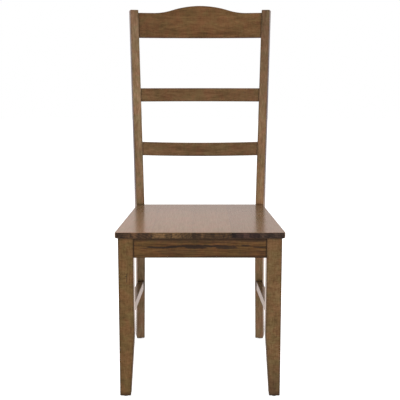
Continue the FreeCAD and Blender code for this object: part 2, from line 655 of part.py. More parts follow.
def wood_screw(name, x, y, z, direction):
    """A pan head wood screw whose head sits at a point, and the hole for it."""
    head = cylinder(f"{name}_head", "Sizes.screw_head_diameter / 2", "Sizes.screw_head_height",
                    z="-Sizes.screw_head_height")
    shank = cylinder(f"{name}_shank", "Sizes.screw_diameter / 2",
                     "Sizes.screw_length - Sizes.screw_tip_length")
    tip = doc.addObject("Part::Cone", f"{name}_tip")
    bind(tip, Radius1="Sizes.screw_diameter / 2", Radius2="Sizes.screw_diameter / 10",
         Height="Sizes.screw_tip_length")
    place(tip, z="Sizes.screw_length - Sizes.screw_tip_length")
    socket = doc.addObject("Part::Cone", f"{name}_socket")
    bind(socket, Radius1="Sizes.screw_head_diameter / 5", Radius2="Sizes.screw_head_diameter / 16",
         Height="Sizes.screw_head_height * 2 / 3")
    place(socket, z="-Sizes.screw_head_height")
    solid = cut(name, fuse(f"{name}_solid", [head, shank, tip]), socket)
    place(solid, x, y, z, pointing(direction))
    hole = cylinder(f"{name}_pilot", "Sizes.screw_diameter / 2 + Sizes.joint_gap",
                    "Sizes.screw_length + Sizes.joint_end_gap")
    bore = cylinder(f"{name}_bore", "Sizes.screw_head_diameter / 2 + Sizes.joint_end_gap",
                    "Sizes.front_block_reach", z="-Sizes.front_block_reach")
    tool = fuse(f"{name}_hole", [hole, bore])
    place(tool, x, y, z, pointing(direction))
    return solid, tool


def side_inner(y):
    """The side apron's inner face, at a distance from the seat's front edge."""
    return f"(Derived.side_front_inner - Derived.side_slope * ({y} - Derived.leg_back))"


def make_block(place_name, corners, screws):
    """A corner block with its two apron screws and its seat screw."""
    body = new_body(f"{place_name}_block_body", z="Derived.seat_under - Sizes.block_height")
    pad(body, "XY_Plane", corners, "Sizes.block_height")
    solids = []
    tools = []
    for name, (x, y, z, direction) in screws.items():
        solid, tool = wood_screw(f"{place_name}_{name}", x, f"Derived.front_y + {y}", z, direction)
        solids.append(solid)
        tools.append(tool)
    block = finish(cut(f"{place_name}_block", body, fuse(f"{place_name}_screw_holes", tools)),
                   f"{place_name}_right_block")
    mirrored(block, f"{place_name}_left_block")
    return solids, tools


def make_blocks():
    """The four corner blocks, their screws, and the screw holes by the piece that they enter."""
    corner_y = "(Derived.leg_back + Sizes.block_clearance)"
    front_side_y = "(Derived.front_block_back - Sizes.screw_inset)"
    level = "Derived.block_screw_height"
    under = "Derived.seat_under - Sizes.block_height"
    front_solids, front_tools = make_block("front", (
        (side_inner("Derived.front_block_back"), "Derived.front_block_back"),
        (side_inner(corner_y), corner_y),
        ("Derived.leg_inner - Sizes.block_clearance", corner_y),
        ("Derived.leg_inner - Sizes.block_clearance", "Derived.front_apron_back"),
        ("Derived.front_block_end", "Derived.front_apron_back"),
    ), {
        "apron_screw": ("Derived.front_block_end + Sizes.screw_inset",
                        "Derived.front_apron_back + Sizes.screw_grip", level, FORWARD),
        "side_screw": (f"{side_inner(front_side_y)} - Sizes.screw_grip", front_side_y,
                       level, ACROSS),
        "seat_screw": ("Derived.leg_inner - Sizes.seat_screw_inset",
                       "Derived.leg_back + Sizes.seat_screw_inset", under, UP),
    })
    rear_corner_y = "(Derived.rear_apron_front - Sizes.rear_block_corner)"
    rear_side_y = "(Derived.rear_block_front + Sizes.screw_inset)"
    rear_solids, rear_tools = make_block("rear", (
        (side_inner("Derived.rear_block_front"), "Derived.rear_block_front"),
        (side_inner(rear_corner_y), rear_corner_y),
        ("Derived.post_inner - Sizes.rear_block_corner", "Derived.rear_apron_front"),
        ("Derived.rear_block_end", "Derived.rear_apron_front"),
    ), {
        "apron_screw": ("Derived.rear_block_end + Sizes.screw_inset",
                        "Derived.rear_apron_front - Sizes.screw_grip", level, BACKWARD),
        "side_screw": (f"{side_inner(rear_side_y)} - Sizes.screw_grip", rear_side_y,
                       level, ACROSS),
        "seat_screw": ("Derived.post_inner - Sizes.seat_screw_inset - Sizes.rear_block_corner",
                       "Derived.rear_apron_front - Sizes.seat_screw_inset"
                       " - Sizes.rear_block_corner", under, UP),
    })
    both_sides("block_screws", front_solids[:2] + rear_solids[:2])
    both_sides("seat_screws", [front_solids[2], rear_solids[2]])
    return front_tools, rear_tools


def make_stretcher(post_body):
    """A side stretcher shouldered against the post, and the tool that cuts its mortises."""
    def strip(name, bottom, height, margin, end_gap):
        body = new_body(name, z=bottom)
        front_end = f"Derived.leg_back - {end_gap}"
        back_end = f"Derived.stretcher_post_y + {end_gap}"
        pad(body, "XY_Plane", (
            (f"Derived.stretcher_front_inner + {margin}", front_end),
            (f"Derived.stretcher_front_outer - ({margin})", front_end),
            (f"Derived.stretcher_back_outer - ({margin})", back_end),
            (f"Derived.stretcher_back_inner + {margin}", back_end),
        ), height)
        return body

    bar = new_body("stretcher_bar", z="Sizes.stretcher_bottom")
    pad(bar, "XY_Plane", (
        ("Derived.stretcher_front_inner", "Derived.leg_back"),
        ("Derived.stretcher_front_outer", "Derived.leg_back"),
        ("Derived.stretcher_back_outer", "Derived.stretcher_post_y + Sizes.post_thickness / 2"),
        ("Derived.stretcher_back_inner", "Derived.stretcher_post_y + Sizes.post_thickness / 2"),
    ), "Sizes.stretcher_height")
    round_edges(bar, "Sizes.apron_edge_radius",
                lambda edge: abs(span(edge).y) > sheet.seat_depth / 2)
    shouldered = cut("stretcher_shouldered", bar, post_body)
    bottom = "Sizes.stretcher_bottom + Sizes.slat_tenon_shoulder"
    height = "Sizes.stretcher_height - 2 * Sizes.slat_tenon_shoulder"
    tenons = strip("stretcher_tenons", bottom, height, "Derived.tongue_margin",
                   "Sizes.tenon_length")
    piece = finish(fuse("stretcher_piece", [shouldered, tenons]), "right_stretcher")
    mirrored(piece, "left_stretcher")
    return strip("stretcher_mortises", f"{bottom} - Sizes.joint_gap",
                 f"{height} + 2 * Sizes.joint_gap", "Derived.tongue_margin - Sizes.joint_gap",
                 "(Sizes.tenon_length + Sizes.joint_end_gap)")


def leg_section(name, size, height):
    """A square with rounded corners that keeps the leg's outer and front faces."""
    inset = "Sizes.leg_edge_radius"
    square = doc.addObject("Part::Plane", f"{name}_square")
    bind(square, Length=f"{size} - 2 * {inset}", Width=f"{size} - 2 * {inset}")
    place(square, f"Derived.leg_outer - {size} + {inset}",
          f"Derived.front_y + Sizes.leg_setback + {inset}", height)
    rounded = doc.addObject("Part::Offset2D", name)
    rounded.Source = square
    rounded.Join = 0
    bind(rounded, Value=inset)
    return rounded


def make_leg_blank():
    """The right front leg before its joints are cut, tapered on its inner and rear faces."""
    leg = doc.addObject("Part::Loft", "front_leg_blank")
    leg.Sections = [leg_section("leg_head", "Sizes.leg_size", "Derived.seat_under"),
                    leg_section("leg_taper_start", "Sizes.leg_size", "Sizes.leg_taper_height"),
                    leg_section("leg_foot", "Sizes.leg_foot_size", "Sizes.glide_height")]
    leg.Solid = True
    leg.Ruled = True
    doc.recompute()
    eased = doc.addObject("Part::Fillet", "front_leg_eased")
    eased.Base = leg
    radius = sheet.leg_foot_easing
    eased.Edges = [(number, radius, radius) for number, edge in enumerate(leg.Shape.Edges, 1)
                   if at_level(edge, sheet.glide_height)]
    return eased


def make_post_blank():
    """The right back post before its joints are cut. Its own Y runs along the plank's width."""
    post = doc.addObject("PartDesign::Body", "back_post_blank")
    place(post, "Derived.post_inner", "Derived.post_y", "0", angle="-Sizes.toe_out")
    post.Placement.Rotation.Axis = UP
    pad(post, "YZ_Plane", (
        ("Sizes.post_foot_kick", "Sizes.glide_height"),
        ("0", "Sizes.post_knee_height"),
        ("0", "Sizes.post_bend_height"),
        ("Derived.post_lean", "Sizes.post_height"),
        ("Derived.post_top_rear", "Sizes.post_height"),
        ("Sizes.post_depth", "Derived.rear_bend_height"),
        ("Sizes.post_depth", "Sizes.post_rear_knee_height"),
        ("Sizes.post_foot_kick + Sizes.post_foot_depth", "Sizes.glide_height"),
    ), "Sizes.post_thickness")
    bends = (
        ("Sizes.knee_radius", 0, sheet.post_knee_height),
        ("Sizes.front_bend_radius", 0, sheet.post_bend_height),
        ("Sizes.rear_bend_radius", sheet.post_depth, derived.rear_bend_height),
        ("Sizes.rear_knee_radius", sheet.post_depth, sheet.post_rear_knee_height),
    )
    for radius, depth, height in bends:
        round_edges(post, radius, lambda edge: near(abs(span(edge).x), sheet.post_thickness)
                    and near(middle(edge).y, depth) and near(middle(edge).z, height))
    round_edges(post, "Sizes.post_edge_radius",
                lambda edge: near(span(edge).x, 0) or at_level(edge, sheet.glide_height)
                or at_level(edge, sheet.post_height))
    return post


def make_glides():
    """The foot glides with their nails, and the nail holes in the feet."""
    nails = []
    holes = []
    for foot, x, y in (("front", "Derived.front_glide_x", "Derived.front_glide_y"),
                       ("rear", "Derived.rear_glide_x", "Derived.rear_glide_y")):
        body = doc.addObject("PartDesign::Body", f"{foot}_glide_body")
        disc = body.newObject("PartDesign::AdditiveCylinder", f"{foot}_glide_disc")
        bind(disc, Radius="Sizes.glide_diameter / 2", Height="Sizes.glide_height")
        place(body, x, y)
        doc.recompute()
        round_edges(body, "Sizes.glide_edge_radius", lambda edge: at_level(edge, 0))
        head = cylinder(f"{foot}_nail_head", "Sizes.nail_head_diameter / 2",
                        "Sizes.nail_head_height", x, y, "Sizes.nail_head_depth")
        shank = cylinder(f"{foot}_nail_shank", "Sizes.nail_diameter / 2",
                         "Sizes.nail_head_height + Sizes.nail_length", x, y,
                         "Sizes.nail_head_depth")
        nails.append(fuse(f"{foot}_nail", [head, shank]))
        recess = cylinder(f"{foot}_glide_recess",
                          "Sizes.nail_head_diameter / 2 + Sizes.joint_gap",
                          "Sizes.nail_head_depth + Sizes.nail_head_height", x, y)
        hole = cylinder(f"{foot}_nail_hole", "Sizes.nail_diameter / 2 + Sizes.joint_gap",
                        "Sizes.nail_head_depth + Sizes.nail_head_height + Sizes.nail_length"
                        " + Sizes.joint_end_gap", x, y)
        holes.append(hole)
        glide = cut(f"{foot}_glide", body, fuse(f"{foot}_glide_holes", [recess, hole]))
        finish(glide, f"{foot}_right_glide")
        mirrored(glide, f"{foot}_left_glide")
    both_sides("glide_nails", nails)
    return holes


def make_chair():
    make_seat()
    rail_mortises = make_back_rails()
    front_apron, rear_apron, side_apron = make_aprons()
    front_holes, rear_holes, leg_holes, post_holes = make_dowels()
    front_tools, rear_tools = make_blocks()
    front_nail_hole, rear_nail_hole = make_glides()
    leg_blank = make_leg_blank()
    post_blank = make_post_blank()
    stretcher_mortises = make_stretcher(post_blank)

    leg = cut("front_leg", leg_blank, group("front_leg_joints", front_holes + leg_holes
                                            + [front_nail_hole, stretcher_mortises]))
    finish(leg, "right_front_leg")
    mirrored(leg, "left_front_leg")
    post = cut("back_post", post_blank, group("back_post_joints", rear_holes + post_holes
                                              + rail_mortises
                                              + [rear_nail_hole, stretcher_mortises]))
    finish(post, "right_back_post")
    mirrored(post, "left_back_post")
    side = cut("side_apron", side_apron, group("side_apron_joints", leg_holes + post_holes
                                               + [front_tools[1], rear_tools[1]]))
    finish(side, "right_apron")
    mirrored(side, "left_apron")
    for label, body, holes, tool in (("front_apron", front_apron, front_holes, front_tools[0]),
                                     ("rear_apron", rear_apron, rear_holes, rear_tools[0])):
        right = group(f"{label}_joints_right", holes + [tool])
        left = doc.addObject("Part::Mirroring", f"{label}_joints_left")
        left.Source = right
        left.Normal = ACROSS
        finish(cut(f"{label}_piece", body, group(f"{label}_joints", [right, left])), label)
    cut_seat_holes(front_tools[2], rear_tools[2])


def cut_seat_holes(front_tool, rear_tool):
    """Pilot holes for the seat screws, in the boards that lie over them."""
    right = group("seat_holes_right", [front_tool, rear_tool])
    left = doc.addObject("Part::Mirroring", "seat_holes_left")
    left.Source = right
    left.Normal = ACROSS
    holes = group("seat_holes", [right, left])
    doc.recompute()
    for label in [name for name in finished if name.startswith("seat_board")]:
        board = finished[label]
        if board.Shape.distToShape(holes.Shape)[0] == 0:
            finish(cut(f"{label}_drilled", board, holes), label)


def check_and_export():
    """Stops on any failed object or bad shape, then writes each piece."""
    doc.recompute()
    for thing in doc.Objects:
        if {"Invalid", "Error"} & set(thing.State):
            raise ValueError(f"{thing.Name} failed: {thing.State}")
    for label, piece in finished.items():
        if piece.Shape.isNull() or not piece.Shape.isValid() or not piece.Shape.Solids:
            raise ValueError(f"{label} has no sound shape")
    os.makedirs("parts", exist_ok=True)
    for label, piece in finished.items():
        piece.Shape.exportStep(f"parts/{label}.step")
        print(label, len(piece.Shape.Solids), round(piece.Shape.Volume))


make_chair()
check_and_export()
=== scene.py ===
"""A ladderback dining chair in stained and lacquered wood, on a pale studio floor.

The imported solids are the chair's pieces. This script gives them their wood, steel and plastic,
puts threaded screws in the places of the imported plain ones, and lights the studio.

Lengths are in metres, and colours are linear.
"""

import math

import bmesh
import bpy
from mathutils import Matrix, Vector


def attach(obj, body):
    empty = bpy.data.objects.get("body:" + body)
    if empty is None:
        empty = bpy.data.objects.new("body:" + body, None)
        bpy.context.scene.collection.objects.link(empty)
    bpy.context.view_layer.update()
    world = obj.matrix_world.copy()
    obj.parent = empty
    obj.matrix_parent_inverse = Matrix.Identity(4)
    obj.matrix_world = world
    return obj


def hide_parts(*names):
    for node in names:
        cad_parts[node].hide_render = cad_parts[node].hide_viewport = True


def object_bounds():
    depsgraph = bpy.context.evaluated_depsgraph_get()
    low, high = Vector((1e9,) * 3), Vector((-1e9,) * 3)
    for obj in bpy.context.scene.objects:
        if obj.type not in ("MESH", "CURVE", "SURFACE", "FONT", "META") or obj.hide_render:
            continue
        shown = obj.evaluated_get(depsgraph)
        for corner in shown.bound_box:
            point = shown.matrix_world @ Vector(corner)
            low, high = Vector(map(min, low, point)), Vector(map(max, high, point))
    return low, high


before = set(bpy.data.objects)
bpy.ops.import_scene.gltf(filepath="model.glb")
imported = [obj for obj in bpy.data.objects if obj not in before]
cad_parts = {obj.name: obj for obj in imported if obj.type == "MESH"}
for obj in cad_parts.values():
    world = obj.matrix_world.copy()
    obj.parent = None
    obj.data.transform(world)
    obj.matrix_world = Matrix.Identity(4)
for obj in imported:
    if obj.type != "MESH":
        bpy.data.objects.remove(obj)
cad_low, cad_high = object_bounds()

# The camera stands before the seat's front edge, which lies at the least Y, just above the
# height of the upper slat, and looks down a little.

CAMERA_DISTANCE = 1.8463
CAMERA_HEIGHT = 0.8630
CAMERA_PITCH = math.radians(8.245)
LENS_MM = 65.26
FRAME_SHIFT = -0.05


def add_camera():
    data = bpy.data.cameras.new("studio_camera")
    data.lens = LENS_MM
    data.shift_y = FRAME_SHIFT
    camera = bpy.data.objects.new("studio_camera", data)
    camera.location = (0, cad_low.y - CAMERA_DISTANCE, CAMERA_HEIGHT)
    camera.rotation_euler = (math.pi / 2 - CAMERA_PITCH, 0, 0)
    bpy.context.collection.objects.link(camera)
    bpy.context.scene.camera = camera


# Building materials.

# The sockets that a Mix node uses for colours: its factor, both colours and the result.
MIX_FACTOR, MIX_FIRST, MIX_SECOND, MIX_RESULT = 0, 6, 7, 2


class Finish:
    """A material's node tree, with short calls for the nodes that wood and metal need."""

    def __init__(self, name):
        self.material = bpy.data.materials.new(name)
        self.material.use_nodes = True
        self.tree = self.material.node_tree
        self.tree.nodes.clear()
        self.output = self.add("ShaderNodeOutputMaterial")

    def add(self, kind, inputs=None, **settings):
        """Adds a node, with values or other nodes' outputs for its inputs."""
        node = self.tree.nodes.new(kind)
        for name, value in settings.items():
            setattr(node, name, value)
        for key, value in (inputs or {}).items():
            self.feed(node.inputs[key], value)
        return node

    def feed(self, socket, value):
        if isinstance(value, bpy.types.NodeSocket):
            self.tree.links.new(value, socket)
        else:
            socket.default_value = value

    def math(self, operation, *values):
        node = self.add("ShaderNodeMath", operation=operation)
        for socket, value in zip(node.inputs, values):
            self.feed(socket, value)
        return node.outputs[0]

    def ramp(self, value, low, high, out_low=0.0, out_high=1.0):
        """Maps a stretch of values smoothly to another, held at both ends."""
        node = self.add("ShaderNodeMapRange",
                        {"Value": value, "From Min": low, "From Max": high,
                         "To Min": out_low, "To Max": out_high},
                        interpolation_type="SMOOTHSTEP")
        return node.outputs[0]

    def mix(self, factor, first, second):
        """Goes from the first colour to the second as the factor goes from 0 to 1."""
        node = self.add("ShaderNodeMix",
                        {MIX_FACTOR: factor, MIX_FIRST: first, MIX_SECOND: second},
                        data_type="RGBA")
        return node.outputs[MIX_RESULT]

    def shade(self, colour, factor):
        """Multiplies a colour by a number."""
        node = self.add("ShaderNodeVectorMath", {"Vector": colour, "Scale": factor},
                        operation="SCALE")
        return node.outputs[0]

    def length(self, vector):
        return self.add("ShaderNodeVectorMath", {"Vector": vector},
                        operation="LENGTH").outputs["Value"]

    def noise(self, vector, scale, detail=2.0, distortion=0.0):
        node = self.add("ShaderNodeTexNoise", {"Vector": vector, "Scale": scale, "Detail": detail,
                                               "Distortion": distortion})
        return node.outputs["Fac"]

    def combine(self, x, y, z):
        return self.add("ShaderNodeCombineXYZ", {"X": x, "Y": y, "Z": z}).outputs[0]

    def position(self):
        """The three Object coordinates."""
        coordinates = self.add("ShaderNodeTexCoord").outputs["Object"]
        return self.add("ShaderNodeSeparateXYZ", {0: coordinates}).outputs[:3]

    def surface(self, **inputs):
        """Ends the tree in a Principled shader, with underscores for spaces in its inputs."""
        shader = self.add("ShaderNodeBsdfPrincipled")
        for name, value in inputs.items():
            self.feed(shader.inputs[name.replace("_", " ")], value)
        self.tree.links.new(shader.outputs[0], self.output.inputs[0])
        return self.material


# The wood.

# The axis along the grain, then the two across it.
ALONG = {"X": (0, 1, 2), "Y": (1, 0, 2), "Z": (2, 0, 1)}

# The figure's layers: length and width of a patch, and how strongly it shows.
RAIL_FIGURE = ((0.60, 0.070, 0.45), (0.11, 0.012, 0.45), (0.035, 0.006, 0.40),
               (0.004, 0.022, 0.22), (0.06, 0.002, 0.40))
POST_FIGURE = ((0.40, 0.030, 0.35), (0.09, 0.007, 0.40), (0.025, 0.005, 0.35),
               (0.06, 0.002, 0.40))
LEG_FIGURE = ((0.50, 0.040, 0.25), (0.12, 0.010, 0.25), (0.0045, 0.013, 0.55),
              (0.010, 0.004, 0.35), (0.05, 0.002, 0.35))
APRON_FIGURE = ((0.50, 0.016, 0.75), (0.16, 0.0055, 1.05), (0.05, 0.0035, 0.75),
                (0.004, 0.015, 0.25), (0.06, 0.0015, 0.40))
SEAT_FIGURE = ((0.30, 0.060, 0.16), (0.20, 0.014, 0.12), (0.06, 0.005, 0.10),
               (0.05, 0.0030, 0.10))
FIGURE_DETAIL = 2.0
FIGURE_DISTORTION = 0.5
PORE_LENGTH = 0.015
PORE_WIDTH = 0.0009
PORE_LEVELS = (0.60, 0.72)
PORE_DIP = 0.6

# How far apart in the wood two pieces lie, for each step of their seeds.
SEED_STEP_ALONG = 1.37
SEED_STEP_ACROSS = 0.53


def add_grain(finish, grain, seed, layers, pore_depth):
    """Returns the place, a brightness of about 1 for the figure, and a height for the fibres."""
    place = finish.position()
    along, across, through = (place[number] for number in ALONG[grain])
    along = finish.math("ADD", along, seed * SEED_STEP_ALONG)
    across = finish.math("ADD", across, seed * SEED_STEP_ACROSS)

    def stretched(length, width):
        return finish.combine(finish.math("DIVIDE", along, length),
                              finish.math("DIVIDE", across, width),
                              finish.math("DIVIDE", through, width))

    value = 1.0
    for length, width, strength in layers:
        layer = finish.noise(stretched(length, width), 1.0, FIGURE_DETAIL, FIGURE_DISTORTION)
        value = finish.math("MULTIPLY_ADD", finish.math("SUBTRACT", layer, 0.5), strength, value)
    pores = finish.noise(stretched(PORE_LENGTH, PORE_WIDTH), 1.0, 1.0)
    pores = finish.ramp(pores, *PORE_LEVELS)
    value = finish.math("MULTIPLY", value, finish.math("MULTIPLY_ADD", pores, -pore_depth, 1.0))
    height = finish.math("MULTIPLY_ADD", pores, -PORE_DIP, layer)
    return place, value, height


# What the stain's tone is multiplied by in dark and in pale wood, and in red and olive clouds.
IN_DARK_WOOD = (0.98, 0.92, 0.80)
IN_PALE_WOOD = (1.02, 1.08, 1.20)
RED_CLOUD = (1.10, 0.97, 0.98, 1)
OLIVE_CLOUD = (0.93, 1.02, 0.94, 1)
DARK_TO_PALE = (0.6, 1.4)
OLIVE_TO_RED = (0.30, 0.70)
CLOUDS_PER_METRE = 34
CLOUD_DETAIL = 3.0


def stain(finish, place, seed, tone, value):
    """The stain's colour: yellower where the wood is pale, and here and there redder."""
    deep = [channel * warmth for channel, warmth in zip(tone, IN_DARK_WOOD)]
    pale = [channel * warmth for channel, warmth in zip(tone, IN_PALE_WOOD)]
    brown = finish.mix(finish.ramp(value, *DARK_TO_PALE), (*deep, 1), (*pale, 1))
    x, y, z = place
    cloud = finish.noise(finish.combine(x, y, finish.math("ADD", z, seed)),
                         CLOUDS_PER_METRE, CLOUD_DETAIL, FIGURE_DISTORTION)
    tint = finish.mix(finish.ramp(cloud, *OLIVE_TO_RED), OLIVE_CLOUD, RED_CLOUD)
    node = finish.add("ShaderNodeVectorMath", {0: brown, 1: tint}, operation="MULTIPLY")
    return node.outputs[0]


# The darkening of edges and the painted shade in joints: its reach at an edge, how like its
# surroundings a face is where it sets in and ends, how open a corner is where it is full and
# gone, and its samples.
EDGE_REACH = 0.009
EDGE_LIKENESS = (0.80, 0.998)
JOINT_OPENNESS = (0.35, 0.95)
SHADE_SAMPLES = 6


def darkened_edges(finish, strength):
    """A brightness that falls along sharp edges."""
    geometry = finish.add("ShaderNodeNewGeometry")
    rounded = finish.add("ShaderNodeBevel", {"Radius": EDGE_REACH}, samples=SHADE_SAMPLES)
    likeness = finish.add("ShaderNodeVectorMath",
                          {0: rounded.outputs[0], 1: geometry.outputs["Normal"]},
                          operation="DOT_PRODUCT").outputs["Value"]
    return finish.ramp(likeness, *EDGE_LIKENESS, 1.0 - strength, 1.0)


def joint_shade(finish, strength, reach):
    """Painted shade: a brightness that falls in corners and along joints, where shadow gathers."""
    openness = finish.add("ShaderNodeAmbientOcclusion", {"Distance": reach},
                          samples=SHADE_SAMPLES).outputs["AO"]
    return finish.ramp(openness, *JOINT_OPENNESS, 1.0 - strength, 1.0)


# How the figure's brightness is held in bounds, and what the fibres do to the surface.
FIGURE_BOUNDS = (0.45, 1.55, 0.35, 1.65)
FIBRE_ROUGHNESS = (0.2, 0.8, 0.62, 0.46)
FIBRE_RELIEF = 0.0004
RELIEF_PER_PORE_DEPTH = 0.68
UNDER_COAT_SPECULAR = 0.1


def wood(name, tone, grain, seed, layers=RAIL_FIGURE, edge=0.6, joint=0.6, joint_reach=0.007,
         coat=0.9, coat_ior=1.42, coat_roughness=0.13, pore_depth=0.22, extras=()):
    """Stained wood under a clear satin lacquer, with its grain along one axis.

    The edges are darkened, and painted shade is laid in the joints, by the given shares. Each
    extra is a function that changes the colour at a place.
    """
    finish = Finish(name)
    place, value, height = add_grain(finish, grain, seed, layers, pore_depth)
    value = finish.ramp(value, *FIGURE_BOUNDS)
    colour = finish.shade(stain(finish, place, seed, tone, value), value)
    for extra in extras:
        colour = extra(finish, place, colour)
    if edge:
        colour = finish.shade(colour, darkened_edges(finish, edge))
    if joint:
        colour = finish.shade(colour, joint_shade(finish, joint, joint_reach))
    roughness = finish.ramp(height, *FIBRE_ROUGHNESS)
    bump = finish.add("ShaderNodeBump",
                      {"Height": height, "Strength": RELIEF_PER_PORE_DEPTH * pore_depth,
                       "Distance": FIBRE_RELIEF})
    return finish.surface(Base_Color=colour, Roughness=roughness, Normal=bump.outputs[0],
                          Specular_IOR_Level=UNDER_COAT_SPECULAR, Coat_Weight=coat,
                          Coat_IOR=coat_ior, Coat_Roughness=coat_roughness)


def toned_and_shaded_along(axis, stops):
    """Lightens and darkens a piece along an axis, from (place, brightness) stops."""
    def extra(finish, place, colour):
        level = None
        for (start, first), (end, second) in zip(stops, stops[1:]):
            rise = finish.ramp(place["XYZ".index(axis)], start, end, 0.0, second - first)
            level = finish.math("ADD", rise, first if level is None else level)
        return finish.shade(colour, level)
    return extra


# The end grain: how squarely a face must look forward or back to show it, how the rings wander,
# how far they and the flecks between them show, and how its brightness is held in bounds.
END_FACING = (0.55, 0.85)
RINGS_PER_METRE = 165
RING_CONTRAST = 0.20
WARPS_PER_METRE = 55
WARP_REACH = 0.020
FLECKS_PER_METRE_ACROSS = 210
FLECKS_PER_METRE_UP = 70
FLECK_CONTRAST = 2.2
PATCH_FADE = 0.006
END_BOUNDS = (0.0, 3.0, 0.12, 3.0)


def end_grain(tone, heart, patches):
    """Darkens the ends of a seat board, where the stain soaks in and the year rings show.

    The rings run round the tree's heart, (x, z). Each patch lightens or darkens a stretch of
    the front edge: its start and end along X, and its brightness.
    """
    heart_x, heart_z = heart

    def extra(finish, place, colour):
        normal = finish.add("ShaderNodeTexCoord").outputs["Normal"]
        facing = finish.add("ShaderNodeSeparateXYZ", {"Vector": normal}).outputs["Y"]
        mask = finish.ramp(finish.math("ABSOLUTE", facing), *END_FACING)
        x, _, z = place
        warp = finish.noise(finish.combine(x, heart_x, z), WARPS_PER_METRE, 3.0)
        warped = finish.math("MULTIPLY_ADD", warp, WARP_REACH, x)
        radius = finish.length(finish.combine(finish.math("SUBTRACT", warped, heart_x), 0.0,
                                              finish.math("SUBTRACT", z, heart_z)))
        wave = finish.math("SINE", finish.math("MULTIPLY", radius, RINGS_PER_METRE * 2 * math.pi))
        across = finish.math("MULTIPLY", warped, FLECKS_PER_METRE_ACROSS)
        upward = finish.math("MULTIPLY", z, FLECKS_PER_METRE_UP)
        flecks = finish.noise(finish.combine(across, heart_x, upward), 1.0, 3.0)
        level = finish.math("MULTIPLY_ADD", wave, RING_CONTRAST, 1.0)
        level = finish.math("MULTIPLY_ADD", finish.math("SUBTRACT", flecks, 0.5),
                            FLECK_CONTRAST, level)
        for start, end, brightness in patches:
            inside = finish.math("MULTIPLY", finish.ramp(warped, start, start + PATCH_FADE),
                                 finish.ramp(warped, end - PATCH_FADE, end, 1.0, 0.0))
            level = finish.math("MULTIPLY", level,
                                finish.math("MULTIPLY_ADD", inside, brightness - 1, 1.0))
        level = finish.ramp(level, *END_BOUNDS)
        return finish.mix(mask, colour, finish.shade(tone, level))
    return extra


# Start and end along X, height, thickness and strength of each dark band. The last, across the
# whole apron just under the seat's edge, is the seat's painted shadow. The others are streaks
# in the wood.
STREAKS_AND_SHADOW = ((-0.160, -0.124, 0.4125, 0.0022, 0.80), (-0.138, -0.062, 0.4145, 0.0052, 0.92),
           (-0.090, -0.024, 0.4172, 0.0046, 0.92), (-0.040, 0.018, 0.4140, 0.0066, 0.90),
           (-0.056, 0.098, 0.4178, 0.0060, 0.95), (0.040, 0.099, 0.4132, 0.0056, 0.90),
           (0.108, 0.132, 0.4195, 0.0050, 0.80), (0.140, 0.176, 0.4145, 0.0024, 0.90),
           (0.100, 0.174, 0.4330, 0.0100, 0.62), (-0.080, 0.110, 0.4285, 0.0056, 0.45),
           (0.146, 0.178, 0.4050, 0.0016, 0.80), (0.150, 0.170, 0.3985, 0.0014, 0.60),
           (-0.180, -0.152, 0.4205, 0.0018, 0.60), (-0.110, -0.020, 0.3990, 0.0022, 0.35),
           (-0.118, -0.004, 0.4045, 0.0060, 0.34), (0.098, 0.140, 0.3990, 0.0056, 0.30),
           (-0.190, 0.190, 0.4370, 0.0170, 0.56))
STREAK_AND_SHADOW_COLOUR = (0.021, 0.0115, 0.0070, 1)

# How the streaks and the seat's painted shadow wander up and down along the apron, and how
# their edges fray.
WANDERS_PER_METRE = 26
WANDER_PLACE = 3.3
WANDER_REACH = 0.007
FRAYS_PER_METRE_ALONG = 95
FRAYS_PER_METRE_UP = 420
FRAY_REACH = 1.5
STREAK_AND_SHADOW_FADE = (0.50, 1.35)


def streaks_and_seat_shadow(finish, place, colour):
    """The long black streak in the front apron, the fainter dark bands around it, and the seat's
    painted shadow along the apron's top.
    """
    x, _, z = place
    wander = finish.noise(finish.combine(finish.math("MULTIPLY", x, WANDERS_PER_METRE), 0.0,
                                         WANDER_PLACE), 1.0, 3.0)
    level = finish.math("MULTIPLY_ADD", wander, -WANDER_REACH,
                        finish.math("ADD", z, WANDER_REACH / 2))
    fray = finish.noise(finish.combine(finish.math("MULTIPLY", x, FRAYS_PER_METRE_ALONG), 0.0,
                                       finish.math("MULTIPLY", z, FRAYS_PER_METRE_UP)), 1.0, 3.0)
    fray = finish.math("SUBTRACT", fray, 0.5)
    total = 0.0
    for start, end, height, thickness, strength in STREAKS_AND_SHADOW:
        middle, half = (start + end) / 2, (end - start) / 2
        sideways = finish.math("DIVIDE", finish.math("SUBTRACT", x, middle), half)
        upward = finish.math("DIVIDE", finish.math("SUBTRACT", level, height), thickness / 2)
        blunt = finish.math("POWER", finish.math("ABSOLUTE", sideways), 3.0)
        away = finish.length(finish.combine(blunt, upward, 0.0))
        away = finish.math("MULTIPLY_ADD", fray, FRAY_REACH, away)
        total = finish.math("MAXIMUM", total, finish.ramp(away, *STREAK_AND_SHADOW_FADE, strength, 0.0))
    return finish.mix(total, colour, STREAK_AND_SHADOW_COLOUR)


# The crack's place along X, the heights where it fades in and out, half of its width and how
# far it wobbles, then the knot's place and the half sizes where it fades out.
CRACK_X = -0.1938
CRACK_FOOT = (0.318, 0.322)
CRACK_HEAD = (0.341, 0.345)
CRACK_HALF_WIDTH = (0.0003, 0.0011)
CRACK_WOBBLE = 0.003
WOBBLES_PER_METRE = 160
KNOT_X = CRACK_X - 0.002
KNOT_Z = 0.336
KNOT_HALF_WIDTH = (0.001, 0.0035)
KNOT_HALF_HEIGHT = (0.0004, 0.0016)
CRACK_DEPTH_FROM_FRONT = 0.016
CRACK_STRENGTH = 0.85
CRACK_COLOUR = (0.022, 0.014, 0.008, 1)


